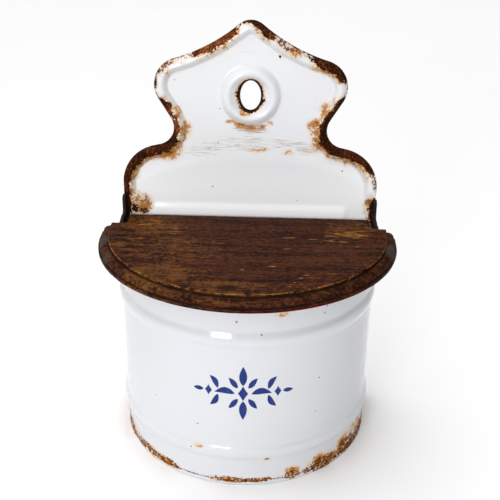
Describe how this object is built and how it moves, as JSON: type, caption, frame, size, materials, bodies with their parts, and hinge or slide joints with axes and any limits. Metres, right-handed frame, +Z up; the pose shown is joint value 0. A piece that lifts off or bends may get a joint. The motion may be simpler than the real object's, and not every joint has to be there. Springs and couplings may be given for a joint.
{
  "type": "salt box",
  "caption": "Wall salt box in white enamelled sheet: crested back plate with a hanging hole, round-fronted bin with raised beads, and a moulded wooden lid that hinges up.",
  "frame": {"origin": "on the floor plane, at the middle of the whole box's width and depth", "axes": "+Z up, -Y towards the round front, +Y towards the wall behind, +X to the right seen from the front"},
  "size_m": [0.1848, 0.1152, 0.259],
  "materials": {
    "enamel": "glossy vitreous enamel, chipped and rusted at the edges",
    "lid_wood": "worn dark stain",
    "lug_iron": "blackened and rusted",
    "nail_steel": "dull, rusted"
  },
  "bodies": {
    "box": {"back_plate": "enamel", "front_wall": "enamel", "base_pan": "enamel", "left_hinge_lug": "lug_iron", "right_hinge_lug": "lug_iron", "lug_rivets": "lug_iron"},
    "lid": {"lid_board": "lid_wood", "left_pivot_nail": "nail_steel", "right_pivot_nail": "nail_steel"}
  },
  "joints": [
    {"name": "lid_hinge", "type": "hinge", "parent": "box", "child": "lid", "pos_m": [0, 0.0459, 0.13125], "axis": [-1, 0, 0], "range_deg": [0, 91.5]}
  ]
}
